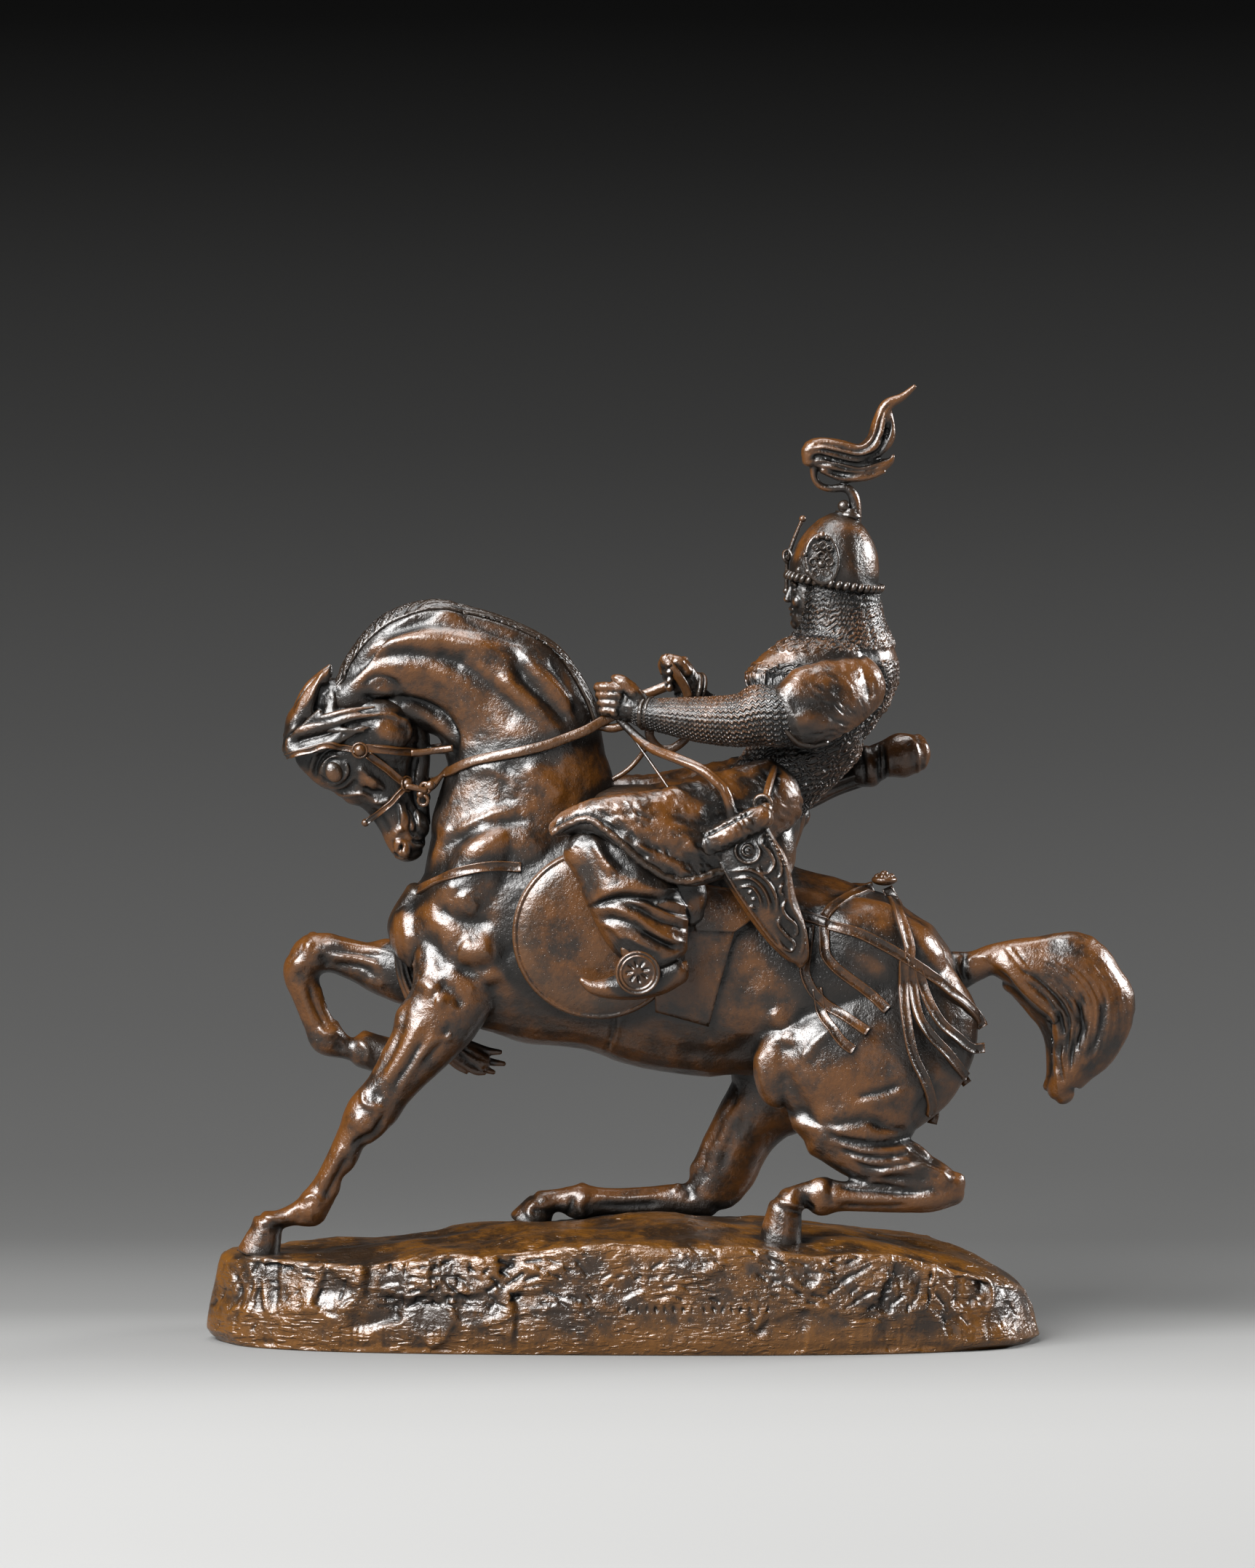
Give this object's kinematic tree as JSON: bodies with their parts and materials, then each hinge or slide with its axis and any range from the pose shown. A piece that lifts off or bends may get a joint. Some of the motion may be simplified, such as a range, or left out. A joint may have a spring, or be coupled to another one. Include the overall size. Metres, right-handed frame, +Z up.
{
  "type": "equestrian statuette",
  "caption": "Cast bronze statuette of a mounted archer reining in a horse that sinks back on its haunches, on a low rocky ground.",
  "frame": {"origin": "middle of the ground's flat underside", "axes": "+X from the horse's head to its tail, +Y from its near (left) side to its far side, +Z up"},
  "size_m": [0.3553, 0.1072, 0.3688],
  "materials": {
    "figure_bronze": "patinated bronze, waxed dark brown patina with near-black hollows and rubbed reddish-gold high places",
    "ground_bronze": "patinated bronze, rough chased rock with a brown to ochre patina and darker hollows"
  },
  "bodies": {
    "root": {"ground": "ground_bronze", "horse_and_rider": "figure_bronze"}
  },
  "joints": []
}
